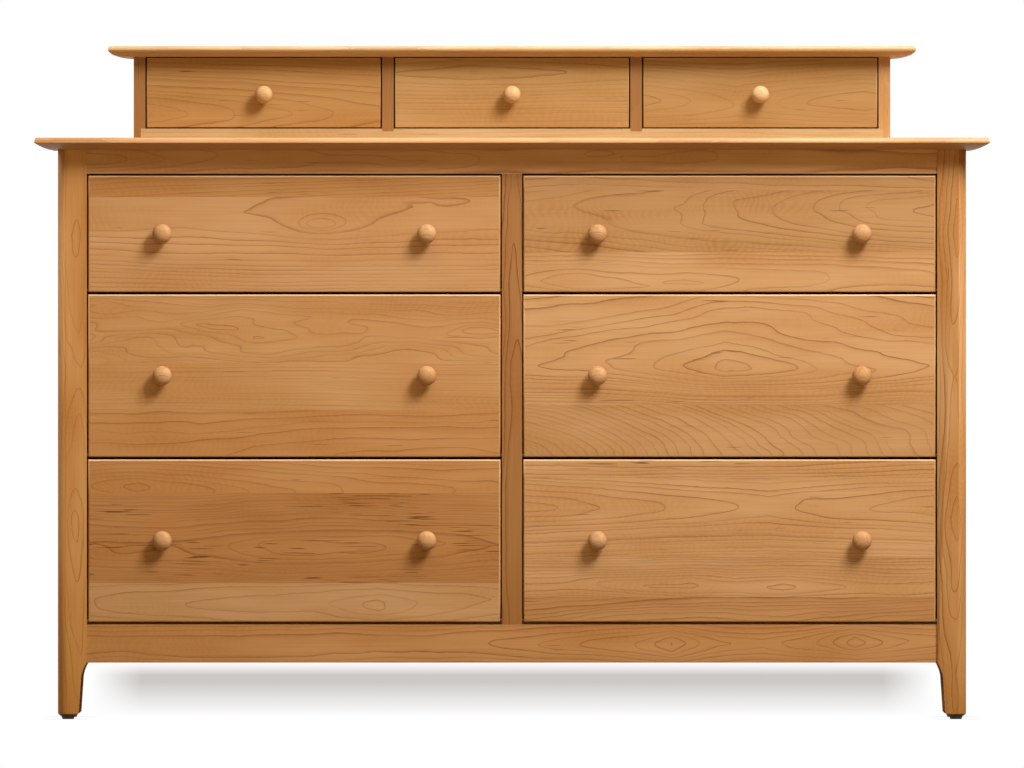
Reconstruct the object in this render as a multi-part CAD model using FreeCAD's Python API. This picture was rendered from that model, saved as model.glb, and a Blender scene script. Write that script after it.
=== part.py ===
import FreeCAD, Part

import math
import os

Vector = FreeCAD.Vector

# A cherry dresser: six large drawers in a leg-and-panel case, with a low case of three small drawers on top.
# Sizes are in millimetres. X runs to the right, Y to the back and Z up, and the origin is on the floor
# under the middle of the main top.

# Main top and the way it overhangs the lower case
main_top_width = 1676.0
main_top_depth = 470.0
main_top_thickness = 20.5
side_overhang = 41.0
front_overhang = 41.0
rear_overhang = 6.0

# Moulded edges of the tops: a nose rounded above and below its tip, each round an inset and a height,
# over a convex bevel that runs out level with the underside
main_nose_above = (3.2, 8.4)
main_nose_below = (0.9, 1.4)
upper_nose_above = (5.2, 5.4)
upper_nose_below = (4.0, 6.4)
main_bevel_width = 38.0
upper_end_bevel_width = 42.0
upper_front_bevel_width = 27.0

# Legs, tapered feet and glides
leg_width = 51.0
leg_depth = 45.0
leg_corner_radius = 16.0
foot_height = 99.0
knee_drop = 34.0
knee_inset = 11.0
toe_inset = 15.0
toe_chamfer = 4.0
glide_diameter = 25.0
glide_floor_diameter = 19.5
glide_height = 6.0

# Front rails and centre stile
front_setback = 3.0
front_rail_thickness = 22.0
bottom_rail_height = 67.0
top_rail_height = 42.5
centre_stile_width = 35.5

# Side frames, back frame and the partition behind the stile
side_setback = 5.0
side_rail_thickness = 22.0
side_top_rail_height = 62.0
side_bottom_rail_height = 67.0
side_panel_thickness = 8.0
back_setback = 5.0
back_rail_thickness = 18.0
back_top_rail_height = 62.0
back_bottom_rail_height = 67.0
back_muntin_width = 60.0
back_panel_thickness = 6.0
partition_thickness = 19.0

# Frame joinery
tenon_thickness = 8.0
side_tenon_length = 25.0
mortise_wall = 6.0
groove_depth = 8.0
shoulder_margin = 2.0

# Large drawers: heights of the three rows and the gaps around the fronts
bottom_row_height = 285.0
middle_row_height = 285.0
top_row_height = 204.0
row_gap = 4.5
top_gap = 3.5
side_gap = 2.5

# Large drawer boxes
front_thickness = 20.0
front_arris = 2.5
front_lap = 6.0
front_end_rabbet = 2.5
box_side_thickness = 15.0
box_back_thickness = 12.0
box_bottom_thickness = 6.0
box_groove_depth = 6.0
box_top_drop = 12.0
box_rear_margin = 3.5

# Dovetails: tails on the sides, pins on the fronts and backs
tail_pitch = 48.0
small_tail_pitch = 36.0
pin_width = 6.0
tail_slope = 7.0

# Full-extension slides under each large drawer
slide_rise = 3.0
slide_recess = 2.0
slide_gauge = 1.5
slide_play = 0.4
slide_width = 22.0
slide_flange_height = 30.0
slide_lip = 3.5
slide_track = 4.2
slide_stage_gap = 1.0
slide_side_clearance = 4.0
slide_front_clearance = 5.5
slide_rear_clearance = 7.5
box_floor_clearance = 0.5
carriage_front_clearance = 1.0
beam_front_setback = 2.0
beam_shortfall = 30.0
batten_height = 40.0
batten_drop = 4.0
side_batten_thickness = 24.0

# Turned knobs: a waisted neck under a domed head, screwed on from inside the drawer
knob_diameter = 34.0
small_knob_diameter = 31.0
knob_base_diameter = 19.0
knob_neck_diameter = 15.0
knob_neck_height = 6.0
knob_rim_height = 13.0
knob_dome_height = 15.0
knob_dome_steps = 4
knob_sides = 20
knob_end_distance = 129.5

# Upper case with three small drawers
upper_inset = 174.0
upper_setback = 64.0
upper_case_height = 142.0
upper_top_thickness = 19.0
upper_side_overhang = 45.0
upper_front_overhang = 28.0
upper_board_thickness = 20.5
upper_rail_height = 16.3
upper_rail_thickness = 20.0
upper_back_thickness = 6.0
upper_back_rabbet = 10.0
floor_housing = 8.0
divider_housing = 5.0

# Small drawers, which run on the floor of the upper case and stop against its back
small_front_setback = 2.0
small_front_thickness = 19.0
small_front_arris = 1.0
small_side_gap = 2.5
small_top_gap = 1.7
small_bottom_gap = 2.1
small_side_thickness = 10.0
small_back_thickness = 9.0
small_bottom_thickness = 5.0
small_groove_depth = 5.0
small_bottom_rise = 6.0
small_box_drop = 9.0
small_knob_drop = 3.5

# Heights and faces of the case that follow from these sizes
bottom_row_base = foot_height + bottom_rail_height + row_gap
middle_row_base = bottom_row_base + bottom_row_height + row_gap
top_row_base = middle_row_base + middle_row_height + row_gap
top_rail_base = top_row_base + top_row_height + top_gap
case_top = top_rail_base + top_rail_height
main_top_height = case_top + main_top_thickness
case_half = main_top_width / 2 - side_overhang
case_front = -main_top_depth / 2 + front_overhang
case_back = main_top_depth / 2 - rear_overhang
leg_inner = case_half - leg_width
front_leg_back = case_front + leg_depth
rear_leg_front = case_back - leg_depth
rail_front = case_front + front_setback
rail_back = rail_front + front_rail_thickness
side_rail_outer = case_half - side_setback
side_rail_inner = side_rail_outer - side_rail_thickness
back_rail_back = case_back - back_setback
back_rail_front = back_rail_back - back_rail_thickness
stile_half = centre_stile_width / 2
tenon_shoulder = groove_depth + shoulder_margin
side_tenon_inner = (side_rail_outer + side_rail_inner - tenon_thickness) / 2
rail_tenon_reach = side_tenon_inner - mortise_wall

# Slide section, as distances in from the supporting face and up from the slide's base
box_side_outer = side_gap + front_end_rabbet
slide_near = slide_recess + box_side_outer + box_side_thickness + slide_side_clearance
slide_far = slide_near + slide_width
stage_height = 2 * slide_gauge + 2 * slide_play + slide_track
carriage_base = stage_height + slide_stage_gap
carriage_top = carriage_base + stage_height
box_side_base = slide_gauge + box_floor_clearance
front_back = rail_front + front_thickness
slide_front = front_back + slide_front_clearance
slide_back = back_rail_front - slide_rear_clearance
slide_stop = slide_back - slide_gauge
box_back_end = slide_stop - box_rear_margin

# Faces of the upper case
upper_half = main_top_width / 2 - upper_inset
upper_inner = upper_half - upper_board_thickness
upper_front = -main_top_depth / 2 + upper_setback
upper_back_front = case_back - upper_back_thickness
upper_floor_top = main_top_height + upper_rail_height
upper_case_top = main_top_height + upper_case_height
upper_top_height = upper_case_top + upper_top_thickness
small_opening = (2 * upper_inner - 2 * upper_board_thickness) / 3

LARGE_ROWS = {
    "bottom": (bottom_row_base, bottom_row_height),
    "middle": (middle_row_base, middle_row_height),
    "top": (top_row_base, top_row_height),
}
SIDES = {"left": -1, "right": 1}
SMALL_BAYS = ("left", "centre", "right")


def block(xs, ys, zs):
    """A rectangular board between two values on each axis, given in either order."""
    low = Vector(min(xs), min(ys), min(zs))
    high = Vector(max(xs), max(ys), max(zs))
    size = high - low
    return Part.makeBox(size.x, size.y, size.z, low)


def flat(points):
    """A flat face inside a closed run of points."""
    return Part.Face(Part.makePolygon(points + points[:1]))


def prism_x(outline, xs):
    """An outline of (y, z) points, run along X."""
    face = flat([Vector(xs[0], y, z) for y, z in outline])
    return face.extrude(Vector(xs[1] - xs[0], 0, 0))


def prism_y(outline, ys):
    """An outline of (x, z) points, run along Y."""
    face = flat([Vector(x, ys[0], z) for x, z in outline])
    return face.extrude(Vector(0, ys[1] - ys[0], 0))


def cut_all(solid, tools):
    """The solid with every tool taken out of it."""
    for tool in tools:
        solid = solid.cut(tool)
    return solid


def save(node, *solids):
    """Write one node as its own file, with each of its pieces a separate solid."""
    shape = solids[0] if len(solids) == 1 else Part.makeCompound(list(solids))
    shape.exportStep("parts/" + node + ".step")


def line(start, end):
    """A straight edge between two points."""
    return Part.LineSegment(start, end).toShape()


def round_points(inset, height):
    """Middle and end of an arc that leaves a nose's tip upright, as (inset, rise) from the tip."""
    radius = (inset ** 2 + height ** 2) / (2 * inset)
    half_sweep = math.asin(height / radius) / 2
    middle = (radius * (1 - math.cos(half_sweep)), radius * math.sin(half_sweep))
    return middle, (inset, height)


def moulded_edges(place, run, heights, nose, bevel_width, both_ends):
    """Edges of a top board's section between the ends of its run; place turns (run, z) into a point.

    The far end is always moulded, and the near end is square unless both_ends is set.
    """
    near_end, far_end = run
    under, top = heights
    above, below = nose
    tip = top - above[1]
    above_middle, above_end = round_points(*above)
    below_middle, below_end = round_points(*below)
    bevel_run = bevel_width - below_end[0]
    drop = tip - below_end[1] - under
    bevel_radius = (bevel_run ** 2 + drop ** 2) / (2 * drop)
    bevel_sweep = math.asin(bevel_run / bevel_radius) / 2
    bevel_middle = (bevel_width - bevel_radius * math.sin(bevel_sweep),
                    under + bevel_radius * (1 - math.cos(bevel_sweep)))
    profile = [
        (above_end[0], top),
        (above_middle[0], tip + above_middle[1]),
        (0, tip),
        (below_middle[0], tip - below_middle[1]),
        (below_end[0], tip - below_end[1]),
        bevel_middle,
        (bevel_width, under),
    ]

    def moulding(end, inward):
        points = [place(end + inward * inset, z) for inset, z in profile]
        return points, [Part.Arc(*points[start:start + 3]).toShape() for start in (0, 2, 4)]

    inward = 1 if far_end > near_end else -1
    far, lines = moulding(far_end, -inward)
    if both_ends:
        near, near_lines = moulding(near_end, inward)
        lines += near_lines + [line(near[0], far[0]), line(near[-1], far[-1])]
    else:
        upper = place(near_end, top)
        lower = place(near_end, under)
        lines += [line(upper, far[0]), line(lower, far[-1]), line(upper, lower)]
    return lines


def moulded_top(half_width, ys, heights, nose, end_bevel, front_bevel):
    """A top board moulded on its front and both ends, with mitred corners and a square back."""
    front, back = ys
    ends = moulded_edges(lambda run, z: Vector(run, front, z), (-half_width, half_width),
                         heights, nose, end_bevel, True)
    depth = moulded_edges(lambda run, z: Vector(-half_width, run, z), (back, front),
                          heights, nose, front_bevel, False)
    across = Part.Face(Part.Wire(Part.__sortEdges__(ends))).extrude(Vector(0, back - front, 0))
    along = Part.Face(Part.Wire(Part.__sortEdges__(depth))).extrude(Vector(2 * half_width, 0, 0))
    return across.common(along)


def leg(sign_x, outer_y, inner_y):
    """A full-height leg with a rounded outer corner and a foot tapered on its two inner faces."""
    outer_x = sign_x * case_half
    inner_x = sign_x * leg_inner
    away = 1 if outer_y > inner_y else -1
    turn = leg_corner_radius * (1 - math.sqrt(0.5))
    corners = [
        Vector(inner_x, inner_y, glide_height),
        Vector(inner_x, outer_y, glide_height),
        Vector(outer_x - sign_x * leg_corner_radius, outer_y, glide_height),
        Vector(outer_x - sign_x * turn, outer_y - away * turn, glide_height),
        Vector(outer_x, outer_y - away * leg_corner_radius, glide_height),
        Vector(outer_x, inner_y, glide_height),
    ]
    outline = [
        line(corners[0], corners[1]),
        line(corners[1], corners[2]),
        Part.Arc(corners[2], corners[3], corners[4]).toShape(),
        line(corners[4], corners[5]),
        line(corners[5], corners[0]),
    ]
    post = Part.Face(Part.Wire(outline)).extrude(Vector(0, 0, case_top - glide_height))
    inner_cut = foot_cut(lambda inset, z: Vector(inner_x + sign_x * inset, outer_y, z))
    side_cut = foot_cut(lambda inset, z: Vector(outer_x, inner_y + away * inset, z))
    post = post.cut(inner_cut.extrude(Vector(0, inner_y - outer_y, 0)))
    post = post.cut(side_cut.extrude(Vector(inner_x - outer_x, 0, 0)))
    toe_edges = [edge for edge in post.Edges if edge.BoundBox.ZMax < glide_height + toe_chamfer / 2]
    return post.makeChamfer(toe_chamfer, toe_edges)


def foot_cut(place):
    """The face that shapes one side of a foot: a hollow under the rail, then a straight taper to the toe."""
    knee_height = foot_height - knee_drop
    hollow_radius = (knee_inset ** 2 + knee_drop ** 2) / (2 * knee_inset)
    sweep = math.asin(knee_drop / hollow_radius) / 2
    start = place(0, foot_height)
    bend = place(knee_inset - hollow_radius * (1 - math.cos(sweep)),
                 knee_height + hollow_radius * math.sin(sweep))
    knee = place(knee_inset, knee_height)
    toe = place(toe_inset, glide_height)
    root = place(0, glide_height)
    edges = [Part.Arc(start, bend, knee).toShape(), line(knee, toe), line(toe, root), line(root, start)]
    return Part.Face(Part.Wire(edges))


def glide(sign_x, outer_y, away):
    """A foot glide: a round pad that narrows to the floor, under the middle of the toe."""
    centre = Vector(sign_x * (case_half - (leg_width - toe_inset) / 2),
                    outer_y - away * (leg_depth - toe_inset) / 2, 0)
    return Part.makeCone(glide_floor_diameter / 2, glide_diameter / 2, glide_height, centre)


def tails(xs, root, tip, bottom, top, pitch):
    """Dovetail tails on a board's end, evenly spaced in its height and wider at the tip than at the root."""
    count = max(2, round((top - bottom) / pitch))
    spacing = (top - bottom) / count
    half_tip = (spacing - pin_width) / 2
    half_root = half_tip - abs(tip - root) / tail_slope
    shapes = []
    for index in range(count):
        middle = bottom + spacing * (index + 0.5)
        outline = [(root, middle - half_root), (tip, middle - half_tip),
                   (tip, middle + half_tip), (root, middle + half_root)]
        shapes.append(prism_x(outline, xs))
    return shapes


def dovetailed_box(xs, front_face, socket, ends, sizes):
    """Sides, back and bottom of a drawer, and the tools that cut its sockets and groove in the front.

    xs are the outer faces of the sides, front_face the back of the drawer front, socket how deep the tails
    reach into it, and ends the lower edge, upper edge, underside of the bottom and rear end of the box.
    """
    base, top, under, rear = ends
    side, back, bottom, groove, pitch = sizes
    back_face = rear - back
    back_base = under + bottom
    inner = (min(xs) + side, max(xs) - side)
    floor = block((inner[0] - groove, inner[1] + groove), (front_face - groove, rear), (under, back_base))
    rear_board = block(xs, (back_face, rear), (back_base, top))
    sides = []
    sockets = []
    for outer_x, inner_x in ((min(xs), inner[0]), (max(xs), inner[1])):
        front_tails = tails((outer_x, inner_x), front_face, front_face - socket, base, top, pitch)
        rear_tails = tails((outer_x, inner_x), back_face, rear, back_base, top, pitch)
        board = block((outer_x, inner_x), (front_face, back_face), (base, top))
        heel = block((outer_x, inner_x), (back_face, rear), (base, back_base))
        board = board.multiFuse([heel] + front_tails + rear_tails).removeSplitter()
        sides.append(board.cut(floor))
        sockets += front_tails
        rear_board = cut_all(rear_board, rear_tails)
    return sides + [rear_board, floor], sockets + [floor]


def knob(x, face, z, diameter):
    """A turned knob on a drawer front: rings of its outline, joined by flat facets."""
    head = diameter / 2
    outline = [(knob_base_diameter / 2, 0), (knob_neck_diameter / 2, knob_neck_height)]
    for step in range(knob_dome_steps):
        angle = math.pi / 2 * step / knob_dome_steps
        outline.append((head * math.cos(angle), knob_rim_height + knob_dome_height * math.sin(angle)))
    turns = [2 * math.pi * index / knob_sides for index in range(knob_sides)]
    rings = []
    for radius, height in outline:
        rings.append([Vector(x + radius * math.cos(turn), face - height, z + radius * math.sin(turn))
                      for turn in turns])
    facets = [flat(rings[0]), flat(rings[-1])]
    for lower, upper in zip(rings, rings[1:]):
        for index in range(knob_sides):
            facets.append(flat([lower[index - 1], lower[index], upper[index], upper[index - 1]]))
    return Part.makeSolid(Part.makeShell(facets))


def eased(front, arris):
    """A drawer front with a small chamfer round its face."""
    face_y = front.BoundBox.YMin
    face_edges = [edge for edge in front.Edges if edge.BoundBox.YMax < face_y + arris / 2]
    return front.makeChamfer(arris, face_edges)


def slide_parts(face, inward, base):
    """One slide: its channel on the supporting face, its beam, and its carriage under the drawer bottom.

    face is the supporting face's x, and inward is 1 or -1 towards the drawer.
    """
    near, far, gauge = slide_near, slide_far, slide_gauge
    lip_near = near + gauge + slide_lip
    lip_far = far - gauge - slide_lip
    track_base = gauge + slide_play
    track_top = track_base + slide_track
    upper_track_base = carriage_base + gauge + slide_play
    upper_track_top = upper_track_base + slide_track
    flange_near = near + gauge + slide_play
    flange_far = far - gauge - slide_play
    web_near = lip_near + slide_play
    web_far = lip_far - slide_play
    lip_base = stage_height - gauge
    carriage_lip = carriage_base + gauge
    carriage_roof = carriage_top - gauge

    channel_outline = [
        (0, 0), (far, 0), (far, stage_height), (lip_far, stage_height), (lip_far, lip_base),
        (far - gauge, lip_base), (far - gauge, gauge), (near + gauge, gauge), (near + gauge, lip_base),
        (lip_near, lip_base), (lip_near, stage_height), (near, stage_height), (near, gauge),
        (gauge, gauge), (gauge, slide_flange_height), (0, slide_flange_height),
    ]
    beam_outline = [
        (flange_near, track_base), (flange_far, track_base), (flange_far, track_top), (web_far, track_top),
        (web_far, upper_track_base), (flange_far, upper_track_base), (flange_far, upper_track_top),
        (flange_near, upper_track_top), (flange_near, upper_track_base), (web_near, upper_track_base),
        (web_near, track_top), (flange_near, track_top),
    ]
    carriage_outline = [
        (near, carriage_top), (far, carriage_top), (far, carriage_base), (lip_far, carriage_base),
        (lip_far, carriage_lip), (far - gauge, carriage_lip), (far - gauge, carriage_roof),
        (near + gauge, carriage_roof), (near + gauge, carriage_lip), (lip_near, carriage_lip),
        (lip_near, carriage_base), (near, carriage_base),
    ]
    stop_outline = [(near, 0), (far, 0), (far, carriage_top), (near, carriage_top)]

    def run(outline, ys):
        return prism_y([(face + inward * u, base + w) for u, w in outline], ys)

    beam_front = slide_front + beam_front_setback
    channel = run(channel_outline, (slide_front, slide_stop))
    channel = channel.fuse(run(stop_outline, (slide_stop, slide_back))).removeSplitter()
    beam = run(beam_outline, (beam_front, slide_back - beam_shortfall + beam_front_setback))
    carriage = run(carriage_outline, (front_back + carriage_front_clearance, slide_stop))
    return channel, beam, carriage


def batten_span(base):
    """Lower and upper edge of the batten behind a slide channel."""
    low = base - batten_drop
    return low, low + batten_height


def rail_with_tenons(xs, ys, zs, tenon_reach):
    """A rail along X between two legs, with a tenon at each end."""
    middle = (ys[0] + ys[1]) / 2
    tenon = block((-tenon_reach, tenon_reach), (middle - tenon_thickness / 2, middle + tenon_thickness / 2),
                  (min(zs) + tenon_shoulder, max(zs) - tenon_shoulder))
    return block(xs, ys, zs).fuse(tenon).removeSplitter(), tenon


def build_large_drawers():
    """Save the six large drawers and return their slide channels and battens."""
    channels = []
    battens = []
    for side_name, sign in SIDES.items():
        faces = sorted((sign * leg_inner, sign * stile_half))
        leg_spaces = [block((sign * leg_inner, sign * case_half), ys, (foot_height, case_top))
                      for ys in ((case_front, front_leg_back), (rear_leg_front, case_back))]
        front_xs = (faces[0] + side_gap, faces[1] - side_gap)
        box_xs = (faces[0] + box_side_outer, faces[1] - box_side_outer)
        for row_name, (row_base, row_height) in LARGE_ROWS.items():
            label = row_name + "_" + side_name
            row_top = row_base + row_height
            slide_base = row_base + slide_rise
            socket = front_thickness - front_lap
            box_ends = (slide_base + box_side_base, row_top - box_top_drop,
                        slide_base + carriage_top, box_back_end)
            box_sizes = (box_side_thickness, box_back_thickness, box_bottom_thickness,
                         box_groove_depth, tail_pitch)
            boards, front_tools = dovetailed_box(box_xs, front_back, socket, box_ends, box_sizes)
            front = eased(block(front_xs, (rail_front, front_back), (row_base, row_top)), front_arris)
            rabbet_ys = (rail_front + front_lap, front_back)
            for end_x, inner_x in zip(front_xs, box_xs):
                front = front.cut(block((end_x, inner_x), rabbet_ys, (row_base, row_top)))
            knobs = [knob(x, rail_front, (row_base + row_top) / 2, knob_diameter)
                     for x in (front_xs[0] + knob_end_distance, front_xs[1] - knob_end_distance)]
            beams = []
            carriages = []
            for face, inward in ((faces[0], 1), (faces[1], -1)):
                channel, beam, carriage = slide_parts(face - inward * slide_recess, inward, slide_base)
                channels.append(cut_all(channel, leg_spaces))
                beams.append(beam)
                carriages.append(carriage)
            side_batten_xs = (leg_inner + slide_recess, leg_inner + side_batten_thickness)
            battens.append(block([sign * x for x in side_batten_xs],
                                 (front_leg_back, rear_leg_front), batten_span(slide_base)))
            centre_batten_xs = (partition_thickness / 2, stile_half - slide_recess)
            battens.append(block([sign * x for x in centre_batten_xs],
                                 (rail_back, back_rail_front), batten_span(slide_base)))
            save(label + "_drawer_front", cut_all(front, front_tools))
            save(label + "_drawer_box", *boards)
            save(label + "_drawer_knobs", *knobs)
            save(label + "_slide_beams", *beams)
            save(label + "_slide_carriages", *carriages)
    return channels, battens


def build_lower_case(channels, battens):
    """Save the main top, the legs with their joinery, the rails, panels, partition, slides and glides."""
    bottom_zs = (foot_height, foot_height + bottom_rail_height)
    top_zs = (top_rail_base, case_top)
    opening_xs = (-leg_inner, leg_inner)
    rail_ys = (rail_front, rail_back)
    bottom_rail, bottom_tenon = rail_with_tenons(opening_xs, rail_ys, bottom_zs, rail_tenon_reach)
    top_rail, top_tenon = rail_with_tenons(opening_xs, rail_ys, top_zs, rail_tenon_reach)
    stile_tenon_half = stile_half - tenon_shoulder
    rail_middle = (rail_front + rail_back) / 2
    stile_tenon = block((-stile_tenon_half, stile_tenon_half),
                        (rail_middle - tenon_thickness / 2, rail_middle + tenon_thickness / 2),
                        (bottom_zs[1] - side_tenon_length, top_rail_base + side_tenon_length))
    stile = block((-stile_half, stile_half), rail_ys, (bottom_zs[1], top_rail_base))
    stile = stile.fuse(stile_tenon).removeSplitter()
    save("bottom_front_rail", bottom_rail.cut(stile_tenon))
    save("top_front_rail", top_rail.cut(stile_tenon))
    save("centre_stile", stile)

    back_ys = (back_rail_front, back_rail_back)
    back_bottom_zs = (foot_height, foot_height + back_bottom_rail_height)
    back_top_zs = (case_top - back_top_rail_height, case_top)
    back_bottom, back_bottom_tenon = rail_with_tenons(opening_xs, back_ys, back_bottom_zs, rail_tenon_reach)
    back_top, back_top_tenon = rail_with_tenons(opening_xs, back_ys, back_top_zs, rail_tenon_reach)
    muntin_half = back_muntin_width / 2
    muntin = block((-muntin_half, muntin_half), back_ys, (back_bottom_zs[1], back_top_zs[0]))
    panel_middle = (back_rail_front + back_rail_back) / 2
    panel_ys = (panel_middle - back_panel_thickness / 2, panel_middle + back_panel_thickness / 2)
    panel_zs = (back_bottom_zs[1] - groove_depth, back_top_zs[0] + groove_depth)
    panel_reach = (muntin_half - groove_depth, leg_inner + groove_depth)
    back_panels = [block([sign * x for x in panel_reach], panel_ys, panel_zs) for sign in SIDES.values()]
    save("back_rails", *[cut_all(board, back_panels) for board in (back_top, back_bottom, muntin)])

    side_rails = []
    side_panels = []
    frame_tools = [bottom_tenon, top_tenon, back_bottom_tenon, back_top_tenon] + back_panels
    panel_x = (side_rail_outer + side_rail_inner) / 2
    side_zs = ((foot_height, foot_height + side_bottom_rail_height),
               (case_top - side_top_rail_height, case_top))
    for sign in SIDES.values():
        panel_xs = (sign * (panel_x - side_panel_thickness / 2), sign * (panel_x + side_panel_thickness / 2))
        panel = block(panel_xs, (front_leg_back - groove_depth, rear_leg_front + groove_depth),
                      (side_zs[0][1] - groove_depth, side_zs[1][0] + groove_depth))
        side_xs = (sign * side_rail_inner, sign * side_rail_outer)
        tenon_xs = (sign * side_tenon_inner, sign * (side_tenon_inner + tenon_thickness))
        tenon_ys = (front_leg_back - side_tenon_length, rear_leg_front + side_tenon_length)
        for zs in side_zs:
            tenon = block(tenon_xs, tenon_ys, (zs[0] + tenon_shoulder, zs[1] - tenon_shoulder))
            rail = block(side_xs, (front_leg_back, rear_leg_front), zs)
            side_rails.append(rail.fuse(tenon).removeSplitter().cut(panel))
            frame_tools.append(tenon)
        side_panels.append(panel)
        frame_tools.append(panel)
    save("side_rails", *side_rails)
    save("side_panels", *side_panels)

    glides = []
    leg_ys = {"front": (case_front, front_leg_back), "rear": (case_back, rear_leg_front)}
    for end_name, (outer_y, inner_y) in leg_ys.items():
        for side_name, sign in SIDES.items():
            glides.append(glide(sign, outer_y, 1 if outer_y > inner_y else -1))
            save(end_name + "_" + side_name + "_leg", cut_all(leg(sign, outer_y, inner_y), frame_tools))
    save("foot_glides", *glides)

    save("centre_partition", block((-partition_thickness / 2, partition_thickness / 2),
                                   (rail_back, back_rail_front), (foot_height, case_top)))
    save("slide_battens", *battens)
    save("slide_channels", *channels)
    save("main_top", moulded_top(main_top_width / 2, (-main_top_depth / 2, main_top_depth / 2),
                                 (case_top, main_top_height), (main_nose_above, main_nose_below),
                                 main_bevel_width, main_bevel_width))
    return back_panels


def build_small_drawers():
    """Save the three small drawers, side by side in the upper case."""
    pitch = small_opening + upper_board_thickness
    for index, bay in enumerate(SMALL_BAYS):
        left = -upper_inner + index * pitch
        xs = (left + small_side_gap, left + small_opening - small_side_gap)
        face = upper_front + small_front_setback
        back_of_front = face + small_front_thickness
        front_base = upper_floor_top + small_bottom_gap
        front_top = upper_case_top - small_top_gap
        knob_height = (front_base + front_top) / 2 - small_knob_drop
        socket = small_front_thickness - front_lap
        ends = (upper_floor_top, front_top - small_box_drop,
                upper_floor_top + small_bottom_rise, upper_back_front)
        sizes = (small_side_thickness, small_back_thickness, small_bottom_thickness,
                 small_groove_depth, small_tail_pitch)
        boards, front_tools = dovetailed_box(xs, back_of_front, socket, ends, sizes)
        front = eased(block(xs, (face, back_of_front), (front_base, front_top)), small_front_arris)
        label = "small_" + bay
        save(label + "_drawer_front", cut_all(front, front_tools))
        save(label + "_drawer_box", *boards)
        save(label + "_drawer_knob", knob(sum(xs) / 2, face, knob_height, small_knob_diameter))


def build_upper_case(back_panels):
    """Save the upper case, whose back panel goes with the other back panels."""
    floor_xs = (-upper_inner - floor_housing, upper_inner + floor_housing)
    floor_zs = (main_top_height, upper_floor_top)
    rail_back_y = upper_front + upper_rail_thickness
    rail = block(floor_xs, (upper_front, rail_back_y), floor_zs)
    floor = block(floor_xs, (rail_back_y, upper_back_front), floor_zs)
    back = block((-upper_inner - upper_back_rabbet, upper_inner + upper_back_rabbet),
                 (upper_back_front, case_back), (main_top_height, upper_case_top))
    sides = []
    for sign in SIDES.values():
        board = block((sign * upper_inner, sign * upper_half), (upper_front, case_back),
                      (main_top_height, upper_case_top))
        sides.append(cut_all(board, [rail, floor, back]))
    dividers = []
    for index in range(1, len(SMALL_BAYS)):
        left = -upper_inner + index * small_opening + (index - 1) * upper_board_thickness
        dividers.append(block((left, left + upper_board_thickness), (upper_front, upper_back_front),
                              (upper_floor_top - divider_housing, upper_case_top)))
    save("upper_front_rail", cut_all(rail, dividers))
    save("upper_floor", cut_all(floor, dividers))
    save("upper_sides", *sides)
    save("upper_dividers", *dividers)
    save("upper_top", moulded_top(upper_half + upper_side_overhang,
                                  (upper_front - upper_front_overhang, case_back + rear_overhang),
                                  (upper_case_top, upper_top_height), (upper_nose_above, upper_nose_below),
                                  upper_end_bevel_width, upper_front_bevel_width))
    save("back_panels", *back_panels, back)


def main():
    """Build the whole dresser."""
    os.makedirs("parts", exist_ok=True)
    channels, battens = build_large_drawers()
    back_panels = build_lower_case(channels, battens)
    build_small_drawers()
    build_upper_case(back_panels)


main()
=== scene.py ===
"""Looks of a cherry dresser: glued-up boards, turned knobs, dovetailed maple drawers and a pale studio."""

import logging
import math
from dataclasses import dataclass, replace
from enum import Enum

import bmesh
import bpy
from mathutils import Euler, Matrix, Vector


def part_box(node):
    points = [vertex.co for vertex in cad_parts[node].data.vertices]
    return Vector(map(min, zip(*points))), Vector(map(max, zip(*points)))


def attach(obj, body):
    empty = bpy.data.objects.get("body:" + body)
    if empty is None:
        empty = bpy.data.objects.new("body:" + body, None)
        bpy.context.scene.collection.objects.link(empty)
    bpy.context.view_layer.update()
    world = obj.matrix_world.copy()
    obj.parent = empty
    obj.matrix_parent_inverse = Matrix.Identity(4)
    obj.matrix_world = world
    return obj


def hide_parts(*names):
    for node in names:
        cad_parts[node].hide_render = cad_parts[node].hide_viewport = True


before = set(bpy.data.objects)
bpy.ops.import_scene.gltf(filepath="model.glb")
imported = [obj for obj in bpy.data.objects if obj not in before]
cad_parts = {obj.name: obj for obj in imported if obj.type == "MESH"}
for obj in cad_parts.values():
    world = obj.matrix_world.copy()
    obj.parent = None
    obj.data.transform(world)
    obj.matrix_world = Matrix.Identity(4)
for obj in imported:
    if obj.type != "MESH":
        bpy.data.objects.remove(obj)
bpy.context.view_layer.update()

LOG = logging.getLogger("dresser")
MERGE_DISTANCE = 1e-5
FLAT_ANGLE = math.radians(0.5)
SHARP_ANGLE = math.radians(50)
WHITE = (1.0, 1.0, 1.0)
NOISE_MIDDLE = (0.3, 0.7)
END_GRAIN_FACING = (0.72, 0.95)
FIBRE_ROUGHNESS = (0.42, 0.54)
FIBRE_DEPTH = 0.0004
NORMAL_WEIGHT = 100
LEFT_SEED_STEP = 0.7
UPPER_FACE = 0.97
UNDER_BEVEL = -0.2

Point = tuple[float, float, float]
Colour = tuple[float, float, float]
Node = bpy.types.Node
Socket = bpy.types.NodeSocket
Material = bpy.types.Material
BMesh = bmesh.types.BMesh


class Slot(Enum):
    """Names of the record's material slots, which the pieces below don't use."""

    CHERRY = "cherry"
    KNOB = "knob_cherry"
    MAPLE = "maple"
    STEEL = "zinc_steel"


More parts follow.
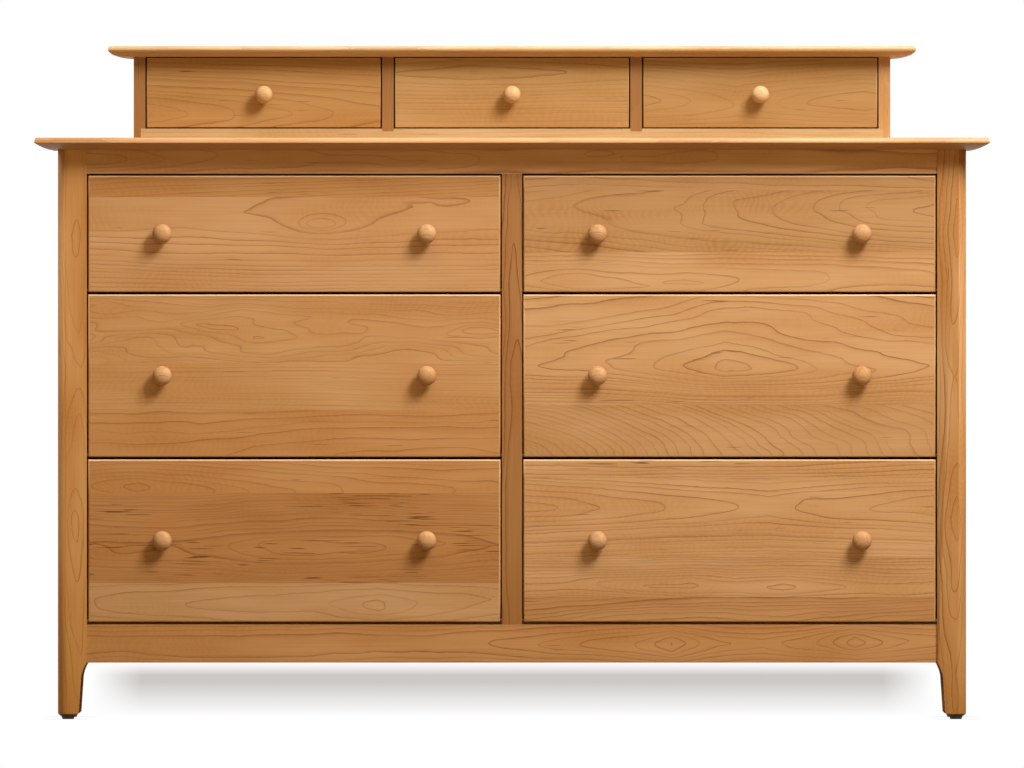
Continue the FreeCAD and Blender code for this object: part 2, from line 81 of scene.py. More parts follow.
class Grain(Enum):
    """Which way a board's grain runs, as rows that turn (x, y, z) into (along, across, through) the board."""

    ALONG_X = ((1, 0, 0), (0, 0, 1), (0, -1, 0))
    ALONG_X_FLAT = ((1, 0, 0), (0, 1, 0), (0, 0, 1))
    ALONG_Y = ((0, 1, 0), (0, 0, 1), (1, 0, 0))
    ALONG_Z = ((0, 0, 1), (1, 0, 0), (0, 1, 0))
    ALONG_Z_SIDE = ((0, 0, -1), (0, 1, 0), (1, 0, 0))

    def turn(self) -> Euler:
        """The rotation as Euler angles."""
        return Matrix(self.value).to_euler()

    def end_shade(self, sheet: "NodeSheet", normal: Socket, least: float) -> Socket:
        """Shade of a board: 1 along the grain, and down to the least where a face cuts across it."""
        facing = sheet.add("ShaderNodeVectorMath", {0: normal, 1: self.value[0]}, operation="DOT_PRODUCT")
        return sheet.span(sheet.math("ABSOLUTE", facing.outputs["Value"]), *END_GRAIN_FACING, 1.0, least)


class Tone(Enum):
    """Colour of the pale early wood of a cherry board, in linear light. Some tones are paler or darker than
    the wood, to paint highlights or shade where they are used.
    """

    HONEY = (0.63, 0.340, 0.146)
    GOLDEN = (0.573, 0.312, 0.131)
    BISQUE = (0.603, 0.344, 0.158)
    OAT = (0.548, 0.308, 0.137)
    FAWN = (0.509, 0.282, 0.122)
    WHEAT = (0.505, 0.258, 0.100)
    ROSE = (0.535, 0.269, 0.100)
    RUSSET = (0.474, 0.226, 0.079)
    AMBER = (0.598, 0.300, 0.101)
    OLIVE = (0.402, 0.190, 0.071)
    SAND = (0.500, 0.291, 0.116)
    CHAMOIS = (0.447, 0.250, 0.095)
    TAWNY = (0.462, 0.244, 0.084)
    UMBER = (0.34, 0.158, 0.055)
    STRAW = (0.69, 0.44, 0.22)
    HIGHLIT_FLAX = (0.565, 0.378, 0.186)
    PEACH = (0.59, 0.325, 0.147)
    # Paler than any board: paints the highlight on the large drawers' top arrises.
    HIGHLIGHT_CREAM = (0.84, 0.54, 0.285)


HighlightArrises = tuple[tuple[str, Tone, float], ...]


class NodeSheet:
    """A node tree that grows by one node at a time.

    MIX_INPUTS and MIX_RESULT are the numbers of a mix node's sockets for a factor and colours.
    """

    MIX_INPUTS = (0, 6, 7)
    MIX_RESULT = 2
    NOISE_ROUGHNESS = 0.55
    SEED_SPREAD = 3.17

    def __init__(self, tree: bpy.types.NodeTree) -> None:
        """Start from an empty tree."""
        self.tree = tree
        tree.nodes.clear()

    def add(self, kind: str, inputs: dict | None = None, **settings: object) -> Node:
        """Add a node.

        Args:
            kind: Blender's name for the node's type.
            inputs: value or incoming socket for each input, by name or number.
            settings: properties of the node.

        Returns:
            The new node.
        """
        node = self.tree.nodes.new(kind)
        for name, value in settings.items():
            setattr(node, name, value)
        for key, value in (inputs or {}).items():
            if isinstance(value, Socket):
                self.tree.links.new(value, node.inputs[key])
            else:
                node.inputs[key].default_value = value
        return node

    def math(self, operation: str, *values: object) -> Socket:
        """Combine numbers or sockets by Blender's name for the operation."""
        return self.add("ShaderNodeMath", dict(enumerate(values)), operation=operation).outputs[0]

    def times(self, first: object, second: object) -> Socket:
        """Multiply two numbers."""
        return self.math("MULTIPLY", first, second)

    def combine(self, x: object, y: object, z: object) -> Socket:
        """Join three numbers into a vector's socket."""
        return self.add("ShaderNodeCombineXYZ", {0: x, 1: y, 2: z}).outputs[0]

    def separate(self, vector: Socket) -> list[Socket]:
        """Split a vector or colour into its three numbers."""
        return list(self.add("ShaderNodeSeparateXYZ", {0: vector}).outputs)

    def stretched(self, vector: Socket, scale: Point) -> Socket:
        """Scale a vector by a number on each axis."""
        return self.add("ShaderNodeVectorMath", {0: vector, 1: scale}, operation="MULTIPLY").outputs[0]

    def length(self, first: object, second: object) -> Socket:
        """Length of a line with these two legs."""
        square = self.math("MULTIPLY_ADD", first, first, self.times(second, second))
        return self.math("SQRT", square)

    def seeded(self, vector: Socket, seed: Socket) -> Socket:
        """Coordinates moved to another part of the noises."""
        shift = self.times(seed, self.SEED_SPREAD)
        offset = self.combine(shift, seed, shift)
        return self.add("ShaderNodeVectorMath", {0: vector, 1: offset}, operation="ADD").outputs[0]

    def noise(self, vector: Socket, scale: Point, detail: float, result: str = "Fac") -> Socket:
        """Add a noise texture.

        Args:
            vector: coordinates in metres.
            scale: cycles per metre on each axis.
            detail: octaves above the first.
            result: Fac for one noise, or Color for three separate ones.

        Returns:
            The noise's socket.
        """
        inputs = {"Vector": self.stretched(vector, scale), "Scale": 1.0, "Detail": detail,
                  "Roughness": self.NOISE_ROUGHNESS}
        return self.add("ShaderNodeTexNoise", inputs).outputs[result]

    def mix(self, factor: object, first: object, second: object, blend: str = "MIX") -> Socket:
        """Mix two colours.

        Args:
            factor: share of the second colour.
            first: colour at 0.
            second: colour at 1.
            blend: Blender's name for the way they mix.

        Returns:
            The mixed colour's socket.
        """
        colours = [(*value, 1.0) if isinstance(value, tuple) else value for value in (first, second)]
        inputs = dict(zip(self.MIX_INPUTS, (factor, *colours)))
        return self.add("ShaderNodeMix", inputs, data_type="RGBA", blend_type=blend).outputs[self.MIX_RESULT]

    def shaded(self, colour: object, shade: Socket) -> Socket:
        """Make a colour lighter or darker by a number."""
        return self.mix(1.0, colour, self.combine(shade, shade, shade), "MULTIPLY")

    def seen(self) -> Socket:
        """1 for what the camera or a reflection sees, and 0 for the light that falls on surfaces."""
        path = self.add("ShaderNodeLightPath").outputs
        mirrored = self.math("MAXIMUM", path["Is Glossy Ray"], path["Is Transmission Ray"])
        return self.math("MAXIMUM", path["Is Camera Ray"], mirrored)

    def wood(self, colour: Socket, fibre: Socket, relief: float, sheen: float) -> Node:
        """Shader of a board by its colour, its fibres' noise, how far they stand out, and its sheen."""
        bump = self.add("ShaderNodeBump", {"Height": fibre, "Strength": relief, "Distance": FIBRE_DEPTH})
        rough = self.span(fibre, *NOISE_MIDDLE, *FIBRE_ROUGHNESS)
        return self.add("ShaderNodeBsdfPrincipled", {"Base Color": colour, "Roughness": rough,
                                                     "Normal": bump.outputs[0], "Specular IOR Level": sheen})

    def span(self, value: object, low: float, high: float, start: float, end: float) -> Socket:
        """Map a number from low..high to start..end, held at both ends."""
        return self.add("ShaderNodeMapRange", {0: value, 1: low, 2: high, 3: start, 4: end}).outputs[0]


def group_tree(name: str, numbers: tuple[str, ...], results: tuple[str, ...]) -> bpy.types.NodeTree:
    """Make an empty node group.

    Args:
        name: the group's name.
        numbers: names of its number inputs, which follow a Grain vector.
        results: names of its number outputs.

    Returns:
        The new node tree.
    """
    tree = bpy.data.node_groups.new(name, "ShaderNodeTree")
    tree.interface.new_socket(name="Grain", in_out="INPUT", socket_type="NodeSocketVector")
    for number in numbers:
        tree.interface.new_socket(name=number, in_out="INPUT", socket_type="NodeSocketFloat")
    for result in results:
        tree.interface.new_socket(name=result, in_out="OUTPUT", socket_type="NodeSocketFloat")
    return tree


class PithGroup:
    """The node group that works out how far a point of a board is from the log's wandering pith.

    Its Grain vector is metres along, across and through the board, from the point where the rings close
    into an eye. A second eye lies further along the grain where Second isn't zero.
    """

    NAME = "cherry_pith"
    NUMBERS = ("Second", "Reach", "Taper", "Wander", "Lift", "Seed", "Knot", "Knot Along", "Knot Across")
    BROAD_NOISE = ((2.6, 10.0, 10.0), 0.6)
    CLOSE_NOISE = ((8.0, 30.0, 30.0), 0.8)
    CLOSE_SHARE = (0.45, 0.25)
    KNOT_SHARE = (22.0, 60.0)

    @classmethod
    def build(cls) -> bpy.types.NodeTree:
        """Make the group and return its tree."""
        tree = group_tree(cls.NAME, cls.NUMBERS, ("Radius",))
        sheet = NodeSheet(tree)
        given = sheet.add("NodeGroupInput").outputs
        along, across, through = sheet.separate(given["Grain"])
        place = sheet.seeded(given["Grain"], given["Seed"])
        broad = sheet.separate(sheet.noise(place, *cls.BROAD_NOISE, "Color"))
        close = sheet.separate(sheet.noise(place, *cls.CLOSE_NOISE, "Color"))

        def stray(axis: int) -> Socket:
            """Offset in metres through (0) or across (1) the board, from a broad and a close noise."""
            share = cls.CLOSE_SHARE[axis]
            wide = sheet.math("MULTIPLY_ADD", broad[axis], 2.0, -1.0)
            tight = sheet.math("MULTIPLY_ADD", close[axis], 2.0 * share, -share)
            return sheet.times(sheet.math("ADD", wide, tight), given["Wander"])

        def past(distance: object, start: str, share: float) -> Socket:
            """Distance past a given place, times a share."""
            return sheet.times(sheet.math("SUBTRACT", distance, given[start]), share)

        far = sheet.math("ABSOLUTE", sheet.math("SUBTRACT", along, given["Second"]))
        run = sheet.math("MINIMUM", sheet.math("ABSOLUTE", along), far)
        easing = sheet.math("ADD", sheet.math("DIVIDE", run, given["Reach"]), 1.0)
        climb = sheet.times(sheet.math("DIVIDE", run, easing), given["Taper"])
        height = sheet.math("ADD", climb, sheet.math("ADD", through, stray(0)))
        above = sheet.times(sheet.math("MAXIMUM", across, 0.0), given["Lift"])
        lifted = sheet.math("ADD", above, sheet.math("MINIMUM", across, 0.0))
        side = sheet.math("ADD", lifted, stray(1))
        flow = sheet.length(past(along, "Knot Along", cls.KNOT_SHARE[0]),
                            past(across, "Knot Across", cls.KNOT_SHARE[1]))
        push = sheet.math("DIVIDE", given["Knot"], sheet.math("MULTIPLY_ADD", flow, flow, 1.0))
        sheet.add("NodeGroupOutput", {"Radius": sheet.math("SUBTRACT", sheet.length(height, side), push)})
        return tree


class RingGroup:
    """The node group that draws growth rings, fibres and gum flecks on a board of cherry.

    Each tuple of four maps a number: from its first two values to its last two.
    """

    NAME = "cherry_rings"
    NUMBERS = (*PithGroup.NUMBERS, "Ring", "Curl", "Gum")
    RESULTS = ("Line", "Late", "Streak", "Fleck", "Mottle", "Ripple")
    LINE_WIDTH = 0.0026
    LATE_WIDTH = 0.009
    LINE_POWER = 1.2
    LATE_POWER = 2.0
    LEAST_RISE = 0.03
    LEAST_STRENGTH = 0.4
    STEP = 0.001
    RAGGED_EDGE = 0.0022
    RING_DRIFT = 2.2
    NUMBER_SPREAD = 7.7
    BROKEN_LINES = (0.36, 0.56, 0.6, 1.0)
    CROWDED_LINES = (0.004, 0.013, 0.42, 1.0)
    GUM_PATCHES = (0.44, 0.64, 0.0, 0.17)
    GUM_FLECKS = (0.85, 0.90, 0.0, 1.0)
    CURLY_PATCHES = (0.46, 0.62, 0.0, 1.0)
    CURL_WAVES = 520.0
    CURL_BEND = 42.0

    @classmethod
    def tree(cls) -> bpy.types.NodeTree:
        """The group, built the first time it is asked for."""
        made = bpy.data.node_groups.get(cls.NAME)
        return made if made else cls.build()

    @classmethod
    def build(cls) -> bpy.types.NodeTree:
        """Make the group and return its tree."""
        tree = group_tree(cls.NAME, cls.NUMBERS, cls.RESULTS)
        sheet = NodeSheet(tree)
        given = sheet.add("NodeGroupInput").outputs
        place = sheet.seeded(given["Grain"], given["Seed"])
        results = cls.rings(sheet, given, place)
        results |= cls.fibres(sheet, given, place, sheet.separate(given["Grain"])[0])
        sheet.add("NodeGroupOutput", results)
        return tree

    @classmethod
    def rings(cls, sheet: NodeSheet, given: object, place: Socket) -> dict:
        """Ring lines of even width, from the distance to the pith and how fast it changes over the face.

        Args:
            sheet: the group's nodes.
            given: the group's inputs.
            place: seeded grain coordinates.

        Returns:
            Sockets for the results Line and Late.
        """
        pith = PithGroup.build()
        ragged = sheet.noise(place, (60.0, 170.0, 170.0), 1.0)
        broken = sheet.noise(place, (5.0, 26.0, 26.0), 1.0)

        def from_pith(shift: Point) -> Socket:
            """Distance to the pith of a point a little way off."""
            moved = sheet.add("ShaderNodeVectorMath", {0: given["Grain"], 1: shift}, operation="ADD")
            numbers = {name: given[name] for name in PithGroup.NUMBERS}
            inputs = {"Grain": moved.outputs[0], **numbers}
            return sheet.add("ShaderNodeGroup", inputs, node_tree=pith).outputs["Radius"]

        here = from_pith((0.0, 0.0, 0.0))
        change = sheet.length(sheet.math("SUBTRACT", from_pith((cls.STEP, 0.0, 0.0)), here),
                              sheet.math("SUBTRACT", from_pith((0.0, cls.STEP, 0.0)), here))
        rise = sheet.math("MAXIMUM", sheet.math("DIVIDE", change, cls.STEP), cls.LEAST_RISE)
        spacing = sheet.math("DIVIDE", given["Ring"], rise)
        jitter = sheet.times(sheet.math("MULTIPLY_ADD", ragged, cls.RAGGED_EDGE, -cls.RAGGED_EDGE / 2), rise)
        radius = sheet.math("ADD", here, jitter)

        uneven = sheet.noise(sheet.combine(radius, given["Seed"], 0.0), (75.0, 1.0, 1.0), 1.0)
        passed = sheet.math("DIVIDE", radius, given["Ring"])
        count = sheet.math("MULTIPLY_ADD", uneven, cls.RING_DRIFT, passed)
        ahead = sheet.times(sheet.math("SUBTRACT", 1.0, sheet.math("FRACT", count)), spacing)
        number = sheet.math("MULTIPLY_ADD", given["Seed"], cls.NUMBER_SPREAD, sheet.math("FLOOR", count))
        chance = sheet.add("ShaderNodeTexWhiteNoise", {"W": number}, noise_dimensions="1D").outputs["Value"]
        strength = sheet.math("MULTIPLY_ADD", chance, 1 - cls.LEAST_STRENGTH, cls.LEAST_STRENGTH)
        strength = sheet.times(strength, sheet.span(broken, *cls.BROKEN_LINES))
        crowding = sheet.span(spacing, *cls.CROWDED_LINES)
        line = sheet.math("POWER", sheet.span(ahead, 0.0, cls.LINE_WIDTH, 1.0, 0.0), cls.LINE_POWER)
        late = sheet.math("POWER", sheet.span(ahead, 0.0, cls.LATE_WIDTH, 1.0, 0.0), cls.LATE_POWER)
        return {"Line": sheet.times(line, sheet.times(strength, crowding)),
                "Late": sheet.times(late, strength)}

    @classmethod
    def fibres(cls, sheet: NodeSheet, given: object, place: Socket, along: Socket) -> dict:
        """Fibre streaks, gum flecks, mottled colour and curly figure.

        Args:
            sheet: the group's nodes.
            given: the group's inputs.
            place: seeded grain coordinates.
            along: distance along the grain.

        Returns:
            Sockets for the results Streak, Fleck, Mottle and Ripple.
        """
        streak = sheet.noise(place, (6.0, 300.0, 300.0), 3.0)
        spots = sheet.noise(place, (15.0, 520.0, 520.0), 0.0)
        crowd = sheet.noise(place, (4.0, 26.0, 26.0), 0.0)
        dense = sheet.times(sheet.span(crowd, *cls.GUM_PATCHES), given["Gum"])
        fleck = sheet.span(sheet.math("ADD", spots, dense), *cls.GUM_FLECKS)
        mottle = sheet.noise(place, (3.4, 14.0, 14.0), 2.0)
        bend = sheet.noise(place, (10.0, 24.0, 24.0), 1.0)
        phase = sheet.math("MULTIPLY_ADD", along, cls.CURL_WAVES, sheet.times(bend, cls.CURL_BEND))
        ripple = sheet.times(sheet.math("SINE", phase), sheet.span(mottle, *cls.CURLY_PATCHES))
        return {"Streak": streak, "Fleck": fleck, "Mottle": mottle,
                "Ripple": sheet.times(ripple, given["Curl"])}


@dataclass(frozen=True)
class Finish:
    """A procedural finish.

    Attributes:
        name: the material's name.
    """

    name: str

    def material(self) -> Material:
        """Make the finished material."""
        material = bpy.data.materials.new(self.name)
        material.use_nodes = True
        sheet = NodeSheet(material.node_tree)
        sheet.add("ShaderNodeOutputMaterial", {"Surface": self.surface(sheet).outputs[0]})
        return material

    def surface(self, sheet: NodeSheet) -> Node:
        """Add the finish's nodes and return the shader at their end."""
        raise NotImplementedError


@dataclass(frozen=True)
class CherryFinish(Finish):
    """Oiled cherry, cut from its own place in a log.

    Attributes:
        grain: which way the board's grain runs.
        eye: where the rings close, in the frame's metres.
        tone: colour of the board.
        second: metres along the grain to a second eye, or 0.
        reach: how far from an eye the rings keep running out.
        taper: how fast the rings run out along the grain.
        ring: width of one ring in metres.
        wander: how far the rings stray in metres.
        lift: how close the rings lie on the side above the eye.
        curl: strength of the curly figure.
        gum: share of gum flecks.
        seed: sets this board's own noise.
        contrast: darkness of the ring lines.
        end_shade: brightness of the end grain.
        sheen: how strongly the oiled surface mirrors the room.
        patch: depth of the broad darker patches.
        darken_below: height below which an upright board is darker towards the bottom, or 0.
        knot: metres along and across the grain from the eye to a pin knot.
        knot_size: how far the rings give way to the knot, in metres.
    """

    PATCH_SHARE = (0.92, 0.86, 0.76)
    DARK_SHARE = (0.50, 0.36, 0.26)
    BOTTOM_SHARE = (0.86, 0.77, 0.55)
    GUM_COLOUR = (0.10, 0.028, 0.008)
    GUM_STRENGTH = 0.8
    LATE_STRENGTH = 0.30
    MOTTLE = (0.36, 0.64)
    STREAK_SHADE = (0.945, 1.05)
    RIPPLE_SHADE = 0.045
    RELIEF = 0.06
    grain: Grain
    eye: Point
    tone: Tone = Tone.GOLDEN
    second: float = 0.0
    reach: float = 1.2
    taper: float = 0.1
    ring: float = 0.006
    wander: float = 0.006
    lift: float = 1.0
    curl: float = 0.5
    gum: float = 0.1
    seed: float = 1.0
    contrast: float = 1.0
    end_shade: float = 0.68
    sheen: float = 0.1
    patch: float = 1.4
    darken_below: float = 0.0
    knot: tuple[float, float] = (0.0, 0.0)
    knot_size: float = 0.0

    def surface(self, sheet: NodeSheet) -> Node:
        """The oiled board, see Finish."""
        coordinates = sheet.add("ShaderNodeTexCoord").outputs
        eye = Matrix(self.grain.value) @ Vector(self.eye)
        mapping = sheet.add("ShaderNodeMapping", {"Vector": coordinates["Object"], "Location": -eye,
                                                  "Rotation": self.grain.turn()})
        numbers = (self.second, self.reach, self.taper, self.wander, self.lift, self.seed, self.knot_size,
                   *self.knot, self.ring, self.curl, self.gum)
        inputs = {"Grain": mapping.outputs[0], **dict(zip(RingGroup.NUMBERS, numbers))}
        found = sheet.add("ShaderNodeGroup", inputs, node_tree=RingGroup.tree()).outputs
        colour = self.colour(sheet, found)
        # Darker towards the bottom, below that height.
        if self.darken_below:
            low = sheet.span(sheet.separate(coordinates["Object"])[2], 0.0, self.darken_below, 1.0, 0.0)
            colour = sheet.mix(low, colour, self.BOTTOM_SHARE, "MULTIPLY")
        shade = sheet.math("ADD", sheet.span(found["Streak"], *NOISE_MIDDLE, *self.STREAK_SHADE),
                           sheet.times(found["Ripple"], self.RIPPLE_SHADE))
        shade = sheet.times(shade, self.grain.end_shade(sheet, coordinates["Normal"], self.end_shade))
        return sheet.wood(sheet.shaded(colour, shade), found["Streak"], self.RELIEF, self.sheen)

    def colour(self, sheet: NodeSheet, found: object) -> Socket:
        """Colour of the board before its fibres shade it, from the outputs of the ring group."""
        pale = self.tone.value
        warm = tuple(value * share ** self.patch for value, share in zip(pale, self.PATCH_SHARE))
        dark = tuple(value * share for value, share in zip(pale, self.DARK_SHARE))
        colour = sheet.mix(sheet.span(found["Mottle"], *self.MOTTLE, 0.0, 1.0), pale, warm)
        colour = sheet.mix(sheet.times(found["Late"], self.LATE_STRENGTH * self.contrast), colour, dark)
        colour = sheet.mix(sheet.times(found["Line"], self.contrast), colour, dark)
        return sheet.mix(sheet.times(found["Fleck"], self.GUM_STRENGTH), colour, self.GUM_COLOUR)


@dataclass(frozen=True)
class MapleFinish(Finish):
    """Clear-lacquered maple for drawer boxes, battens and the hidden boards.

    Attributes:
        grain: which way the grain runs.
        pale: colour between the rings.
        dark: colour of the ring lines.
        end_shade: brightness of the end grain.
        sheen: how strongly the lacquer mirrors the room.
    """

    RINGS = 9.0
    LINE_POWER = 6.0
    LINE_STRENGTH = 0.55
    FIBRE_SHADE = (0.93, 1.05)
    RELIEF = 0.05
    grain: Grain
    pale: Colour = (0.76, 0.57, 0.36)
    dark: Colour = (0.58, 0.38, 0.20)
    end_shade: float = 0.66
    sheen: float = 0.35

    def surface(self, sheet: NodeSheet) -> Node:
        """The lacquered board, see Finish."""
        coordinates = sheet.add("ShaderNodeTexCoord").outputs
        turned = sheet.add("ShaderNodeMapping", {"Vector": coordinates["Object"],
                                                 "Rotation": self.grain.turn()}).outputs[0]
        rings = sheet.noise(turned, (2.5, 34.0, 34.0), 3.0)
        fibre = sheet.noise(turned, (9.0, 420.0, 420.0), 3.0)
        wave = sheet.math("FRACT", sheet.times(rings, self.RINGS))
        line = sheet.times(sheet.math("POWER", wave, self.LINE_POWER), self.LINE_STRENGTH)
        shade = sheet.times(sheet.span(fibre, *NOISE_MIDDLE, *self.FIBRE_SHADE),
                            self.grain.end_shade(sheet, coordinates["Normal"], self.end_shade))
        colour = sheet.shaded(sheet.mix(line, self.pale, self.dark), shade)
        return sheet.wood(colour, fibre, self.RELIEF, self.sheen)


@dataclass(frozen=True)
class SteelFinish(Finish):
    """Zinc-plated steel with a rolled grain.

    Attributes:
        colour: colour of the plating.
        roughness: least and greatest roughness.
    """

    SPANGLE_SHADE = (0.86, 1.06)
    colour: Colour = (0.45, 0.455, 0.46)
    roughness: tuple[float, float] = (0.30, 0.48)

    def surface(self, sheet: NodeSheet) -> Node:
        """The plated steel, see Finish."""
        place = sheet.add("ShaderNodeTexCoord").outputs["Object"]
        rolled = sheet.noise(place, (900.0, 12.0, 900.0), 2.0)
        spangle = sheet.noise(place, (160.0, 160.0, 160.0), 2.0)
        colour = sheet.shaded(self.colour, sheet.span(spangle, *NOISE_MIDDLE, *self.SPANGLE_SHADE))
        rough = sheet.span(rolled, *NOISE_MIDDLE, *self.roughness)
        inputs = {"Base Color": colour, "Roughness": rough, "Metallic": 1.0}
        return sheet.add("ShaderNodeBsdfPrincipled", inputs)


@dataclass(frozen=True)
class PlasticFinish(Finish):
    """Matt black plastic with a fine moulded texture.

    Attributes:
        colour: colour of the plastic.
        dust_colour: colour of the dust on it.
        roughness: roughness of the plastic.
    """

    DUST_PATCHES = (0.45, 0.75, 0.0, 0.25)
    PEBBLE_RELIEF = 0.2
    PEBBLE_DEPTH = 0.0003
    colour: Colour = (0.018, 0.017, 0.016)
    dust_colour: Colour = (0.06, 0.055, 0.05)
    roughness: float = 0.6

    def surface(self, sheet: NodeSheet) -> Node:
        """The moulded plastic, see Finish."""
        place = sheet.add("ShaderNodeTexCoord").outputs["Object"]
        pebble = sheet.noise(place, (1600.0, 1600.0, 1600.0), 1.0)
        dust = sheet.span(sheet.noise(place, (90.0, 90.0, 90.0), 2.0), *self.DUST_PATCHES)
        colour = sheet.mix(dust, self.colour, self.dust_colour)
        bump = sheet.add("ShaderNodeBump", {"Height": pebble, "Strength": self.PEBBLE_RELIEF,
                                            "Distance": self.PEBBLE_DEPTH})
        inputs = {"Base Color": colour, "Roughness": self.roughness, "Normal": bump.outputs[0]}
        return sheet.add("ShaderNodeBsdfPrincipled", inputs)


def merged_copy(node: str) -> BMesh:
    """Copy a CAD node into a new bmesh, with its loose triangles joined into clean faces."""
    shape = bmesh.new()
    shape.from_mesh(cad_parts[node].data)
    bmesh.ops.remove_doubles(shape, verts=shape.verts, dist=MERGE_DISTANCE)
    bmesh.ops.dissolve_limit(shape, angle_limit=FLAT_ANGLE, verts=shape.verts, edges=shape.edges)
    return shape


def finished(name: str, shape: BMesh, materials: list[Material], body: str,
             replaced: tuple[str, ...] = ()) -> None:
    """Turn a bmesh into a piece of the dresser.

    Args:
        name: the piece's name.
        shape: its mesh, which is freed.
        materials: its materials, in the order of the faces' numbers.
        body: the CAD body that it moves with.
        replaced: CAD nodes that it stands for.
    """
    mesh = bpy.data.meshes.new(name)
    for face in shape.faces:
        face.smooth = True
    shape.to_mesh(mesh)
    shape.free()
    mesh.set_sharp_from_angle(angle=SHARP_ANGLE)
    for material in materials:
        mesh.materials.append(material)
    piece = bpy.data.objects.new(name, mesh)
    bpy.context.scene.collection.objects.link(piece)
    shading = piece.modifiers.new("even_shading", "WEIGHTED_NORMAL")
    shading.keep_sharp = True
    shading.weight = NORMAL_WEIGHT
    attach(piece, body)
    if replaced:
        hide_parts(*replaced)
    LOG.info("piece %s rides on %s", name, body)


def dress(node: str, material: Material) -> None:
    """Give a CAD node that stays in view a better material."""
    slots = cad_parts[node].data.materials
    slots.clear()
    slots.append(material)
    LOG.info("node %s wears %s", node, material.name)


def spin(into: BMesh, outline: list[Vector], centre: Vector, axis: Vector, steps: int) -> None:
    """Spin an outline into a mesh that may hold other turned shapes.

    Args:
        into: the mesh.
        outline: the outline's points.
        centre: a point on the axis.
        axis: unit vector along the axis.
        steps: faces round the axis.
    """
    points = [into.verts.new(place) for place in outline]
    edges = [into.edges.new(pair) for pair in zip(points, points[1:])]
    bmesh.ops.spin(into, geom=[*points, *edges], cent=centre, axis=axis, angle=2 * math.pi, steps=steps,
                   use_merge=True)
    bmesh.ops.remove_doubles(into, verts=into.verts, dist=MERGE_DISTANCE)
    bmesh.ops.recalc_face_normals(into, faces=into.faces)


@dataclass
class Knob:
    """A turned knob with a waisted neck and a domed head.

    Attributes:
        place: where its axis meets the drawer's face.
        radius: radius of the head.
        base_radius: radius where it meets the drawer.
        neck_radius: radius of the waist.
        neck_height: distance from the drawer to the waist.
        rim_height: distance from the drawer to the widest part.
        dome_height: how far the dome rises past the rim.
        fullness: shape of the dome, 1 for an ellipse and less for a flatter crown.
        steps: faces round the knob.
    """

    DOME_STEPS = 10
    place: Point
    radius: float
    base_radius: float = 0.0095
    neck_radius: float = 0.0075
    neck_height: float = 0.006
    rim_height: float = 0.013
    dome_height: float = 0.0139
    fullness: float = 0.84
    steps: int = 64

    def outline(self) -> list[tuple[float, float]]:
        """Radius and height of the points of the turned outline, from the drawer out to the crown."""
        base, neck, head = self.base_radius, self.neck_radius, self.radius
        waist = [(base, 0.0), (base * 0.93, 0.0012), (neck * 1.02, 0.0042), (neck, self.neck_height),
                 (neck * 1.12, self.neck_height + 0.0016)]
        cove = [(head * share, self.rim_height - drop)
                for share, drop in ((0.74, 0.0042), (0.93, 0.0020), (0.985, 0.0007))]
        dome = []
        for index in range(self.DOME_STEPS + 1):
            angle = math.pi / 2 * index / self.DOME_STEPS
            dome.append((self.radius * max(math.cos(angle), 0.0) ** self.fullness,
                         self.rim_height + self.dome_height * math.sin(angle) ** self.fullness))
        return waist + cove + dome

    def shape(self, into: BMesh) -> None:
        """Spin the outline round the knob's axis, into a mesh that may hold other knobs."""
        centre = Vector(self.place)
        outline = [centre + Vector((max(radius, 0.0), -height, 0.0)) for radius, height in self.outline()]
        spin(into, outline, centre, Vector((0, 1, 0)), self.steps)


@dataclass
class ScrewHead:
    """A domed screw head on a drawer front's back, with a round recess for the driver.

    Attributes:
        place: where the head meets the front.
        radius: radius of the head.
        height: how far it stands.
        steps: faces round the head.
    """

    OUTLINE = ((1.0, 0.0), (0.97, 0.45), (0.78, 0.86), (0.5, 1.0), (0.36, 1.0), (0.28, 0.5), (0.0, 0.36))
    place: Point
    radius: float = 0.005
    height: float = 0.0026
    steps: int = 20

    def shape(self, into: BMesh) -> None:
        """Spin the head into a mesh that may hold other heads."""
        centre, out = Vector(self.place), Vector((0, 1, 0))
        aside = out.orthogonal().normalized()
        outline = [centre + aside * (self.radius * share) + out * (self.height * level)
                   for share, level in self.OUTLINE]
        spin(into, outline, centre, out, self.steps)


